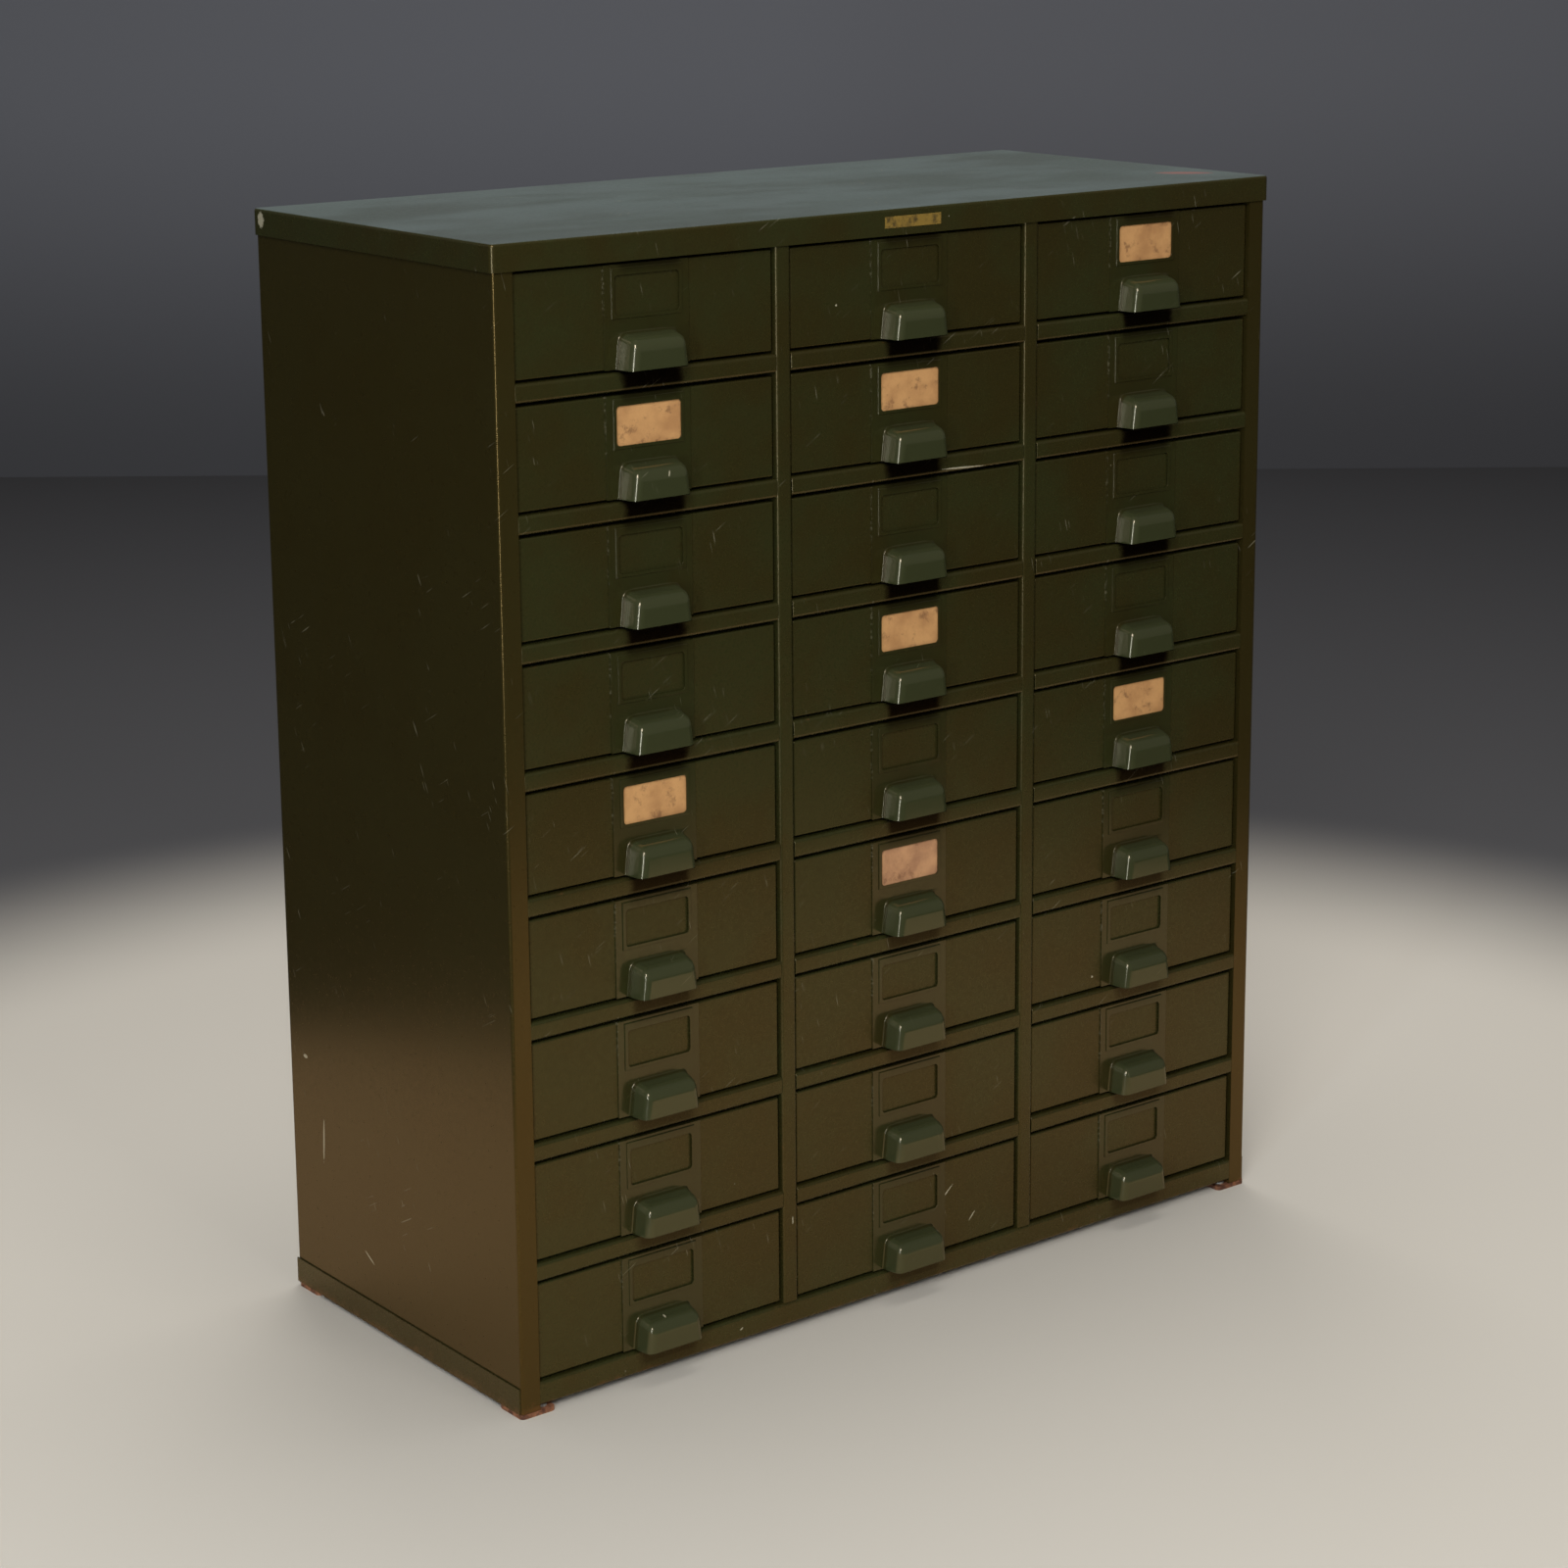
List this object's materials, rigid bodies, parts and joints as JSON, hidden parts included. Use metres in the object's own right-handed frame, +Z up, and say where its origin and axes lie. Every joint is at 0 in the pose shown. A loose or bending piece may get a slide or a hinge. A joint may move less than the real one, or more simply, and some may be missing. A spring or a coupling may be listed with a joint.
{
  "type": "drawer cabinet",
  "caption": "Free-standing folded-steel parts cabinet: a grid of shallow label-fronted drawers with hooded pulls in a plain rectangular shell with a turned-down top.",
  "frame": {"origin": "on the floor, under the middle of the box that holds the cabinet with its drawers shut", "axes": "+Z up, +X to the right of a person facing the drawer fronts, +Y from the front to the back"},
  "size_m": [0.7868, 0.3566, 0.9095],
  "materials": {
    "olive_enamel": "aged semi-gloss dark olive enamel on folded steel, worn at edges",
    "drawer_enamel": "aged semi-gloss dark olive enamel on folded and pressed steel",
    "card_stock": "aged buff card, matt and stained, no lettering",
    "rusted_steel": "rusted bare steel plate",
    "zinc_rivet": "dull zinc rivet head",
    "blank_label": "aged yellow film, blank"
  },
  "bodies": {
    "cabinet": {"top_cap": "olive_enamel", "name_label": "blank_label", "left_side": "olive_enamel", "right_side": "olive_enamel", "back_panel": "olive_enamel", "floor_pan": "olive_enamel", "head_rail": "olive_enamel", "base_rail": "olive_enamel", "left_mullion": "olive_enamel", "right_mullion": "olive_enamel", "left_partition": "olive_enamel", "right_partition": "olive_enamel", "left_skirt": "olive_enamel", "right_skirt": "olive_enamel", "corner_feet": "rusted_steel", "foot_rivets": "zinc_rivet", "column_1_rails": "olive_enamel", "column_1_runners": "olive_enamel", "column_2_rails": "olive_enamel", "column_2_runners": "olive_enamel", "column_3_rails": "olive_enamel", "column_3_runners": "olive_enamel"},
    "drawer_r1_c1": {"drawer_r1_c1": "drawer_enamel"},
    "drawer_r1_c2": {"drawer_r1_c2": "drawer_enamel"},
    "drawer_r1_c3": {"drawer_r1_c3": "drawer_enamel", "card_r1_c3": "card_stock"},
    "drawer_r2_c1": {"drawer_r2_c1": "drawer_enamel", "card_r2_c1": "card_stock"},
    "drawer_r2_c2": {"drawer_r2_c2": "drawer_enamel", "card_r2_c2": "card_stock"},
    "drawer_r2_c3": {"drawer_r2_c3": "drawer_enamel"},
    "drawer_r3_c1": {"drawer_r3_c1": "drawer_enamel"},
    "drawer_r3_c2": {"drawer_r3_c2": "drawer_enamel"},
    "drawer_r3_c3": {"drawer_r3_c3": "drawer_enamel"},
    "drawer_r4_c1": {"drawer_r4_c1": "drawer_enamel"},
    "drawer_r4_c2": {"drawer_r4_c2": "drawer_enamel", "card_r4_c2": "card_stock"},
    "drawer_r4_c3": {"drawer_r4_c3": "drawer_enamel"},
    "drawer_r5_c1": {"drawer_r5_c1": "drawer_enamel", "card_r5_c1": "card_stock"},
    "drawer_r5_c2": {"drawer_r5_c2": "drawer_enamel"},
    "drawer_r5_c3": {"drawer_r5_c3": "drawer_enamel", "card_r5_c3": "card_stock"},
    "drawer_r6_c1": {"drawer_r6_c1": "drawer_enamel"},
    "drawer_r6_c2": {"drawer_r6_c2": "drawer_enamel", "card_r6_c2": "card_stock"},
    "drawer_r6_c3": {"drawer_r6_c3": "drawer_enamel"},
    "drawer_r7_c1": {"drawer_r7_c1": "drawer_enamel"},
    "drawer_r7_c2": {"drawer_r7_c2": "drawer_enamel"},
    "drawer_r7_c3": {"drawer_r7_c3": "drawer_enamel"},
    "drawer_r8_c1": {"drawer_r8_c1": "drawer_enamel"},
    "drawer_r8_c2": {"drawer_r8_c2": "drawer_enamel"},
    "drawer_r8_c3": {"drawer_r8_c3": "drawer_enamel"},
    "drawer_r9_c1": {"drawer_r9_c1": "drawer_enamel"},
    "drawer_r9_c2": {"drawer_r9_c2": "drawer_enamel"},
    "drawer_r9_c3": {"drawer_r9_c3": "drawer_enamel"}
  },
  "joints": [
    {"name": "drawer_r1_c1_slide", "type": "slide", "parent": "cabinet", "child": "drawer_r1_c1", "axis": [0, -1, 0], "range_m": [0, 0.26]},
    {"name": "drawer_r1_c2_slide", "type": "slide", "parent": "cabinet", "child": "drawer_r1_c2", "axis": [0, -1, 0], "range_m": [0, 0.26]},
    {"name": "drawer_r1_c3_slide", "type": "slide", "parent": "cabinet", "child": "drawer_r1_c3", "axis": [0, -1, 0], "range_m": [0, 0.26]},
    {"name": "drawer_r2_c1_slide", "type": "slide", "parent": "cabinet", "child": "drawer_r2_c1", "axis": [0, -1, 0], "range_m": [0, 0.26]},
    {"name": "drawer_r2_c2_slide", "type": "slide", "parent": "cabinet", "child": "drawer_r2_c2", "axis": [0, -1, 0], "range_m": [0, 0.26]},
    {"name": "drawer_r2_c3_slide", "type": "slide", "parent": "cabinet", "child": "drawer_r2_c3", "axis": [0, -1, 0], "range_m": [0, 0.26]},
    {"name": "drawer_r3_c1_slide", "type": "slide", "parent": "cabinet", "child": "drawer_r3_c1", "axis": [0, -1, 0], "range_m": [0, 0.26]},
    {"name": "drawer_r3_c2_slide", "type": "slide", "parent": "cabinet", "child": "drawer_r3_c2", "axis": [0, -1, 0], "range_m": [0, 0.26]},
    {"name": "drawer_r3_c3_slide", "type": "slide", "parent": "cabinet", "child": "drawer_r3_c3", "axis": [0, -1, 0], "range_m": [0, 0.26]},
    {"name": "drawer_r4_c1_slide", "type": "slide", "parent": "cabinet", "child": "drawer_r4_c1", "axis": [0, -1, 0], "range_m": [0, 0.26]},
    {"name": "drawer_r4_c2_slide", "type": "slide", "parent": "cabinet", "child": "drawer_r4_c2", "axis": [0, -1, 0], "range_m": [0, 0.26]},
    {"name": "drawer_r4_c3_slide", "type": "slide", "parent": "cabinet", "child": "drawer_r4_c3", "axis": [0, -1, 0], "range_m": [0, 0.26]},
    {"name": "drawer_r5_c1_slide", "type": "slide", "parent": "cabinet", "child": "drawer_r5_c1", "axis": [0, -1, 0], "range_m": [0, 0.26]},
    {"name": "drawer_r5_c2_slide", "type": "slide", "parent": "cabinet", "child": "drawer_r5_c2", "axis": [0, -1, 0], "range_m": [0, 0.26]},
    {"name": "drawer_r5_c3_slide", "type": "slide", "parent": "cabinet", "child": "drawer_r5_c3", "axis": [0, -1, 0], "range_m": [0, 0.26]},
    {"name": "drawer_r6_c1_slide", "type": "slide", "parent": "cabinet", "child": "drawer_r6_c1", "axis": [0, -1, 0], "range_m": [0, 0.26]},
    {"name": "drawer_r6_c2_slide", "type": "slide", "parent": "cabinet", "child": "drawer_r6_c2", "axis": [0, -1, 0], "range_m": [0, 0.26]},
    {"name": "drawer_r6_c3_slide", "type": "slide", "parent": "cabinet", "child": "drawer_r6_c3", "axis": [0, -1, 0], "range_m": [0, 0.26]},
    {"name": "drawer_r7_c1_slide", "type": "slide", "parent": "cabinet", "child": "drawer_r7_c1", "axis": [0, -1, 0], "range_m": [0, 0.26]},
    {"name": "drawer_r7_c2_slide", "type": "slide", "parent": "cabinet", "child": "drawer_r7_c2", "axis": [0, -1, 0], "range_m": [0, 0.26]},
    {"name": "drawer_r7_c3_slide", "type": "slide", "parent": "cabinet", "child": "drawer_r7_c3", "axis": [0, -1, 0], "range_m": [0, 0.26]},
    {"name": "drawer_r8_c1_slide", "type": "slide", "parent": "cabinet", "child": "drawer_r8_c1", "axis": [0, -1, 0], "range_m": [0, 0.26]},
    {"name": "drawer_r8_c2_slide", "type": "slide", "parent": "cabinet", "child": "drawer_r8_c2", "axis": [0, -1, 0], "range_m": [0, 0.26]},
    {"name": "drawer_r8_c3_slide", "type": "slide", "parent": "cabinet", "child": "drawer_r8_c3", "axis": [0, -1, 0], "range_m": [0, 0.26]},
    {"name": "drawer_r9_c1_slide", "type": "slide", "parent": "cabinet", "child": "drawer_r9_c1", "axis": [0, -1, 0], "range_m": [0, 0.26]},
    {"name": "drawer_r9_c2_slide", "type": "slide", "parent": "cabinet", "child": "drawer_r9_c2", "axis": [0, -1, 0], "range_m": [0, 0.26]},
    {"name": "drawer_r9_c3_slide", "type": "slide", "parent": "cabinet", "child": "drawer_r9_c3", "axis": [0, -1, 0], "range_m": [0, 0.26]}
  ]
}
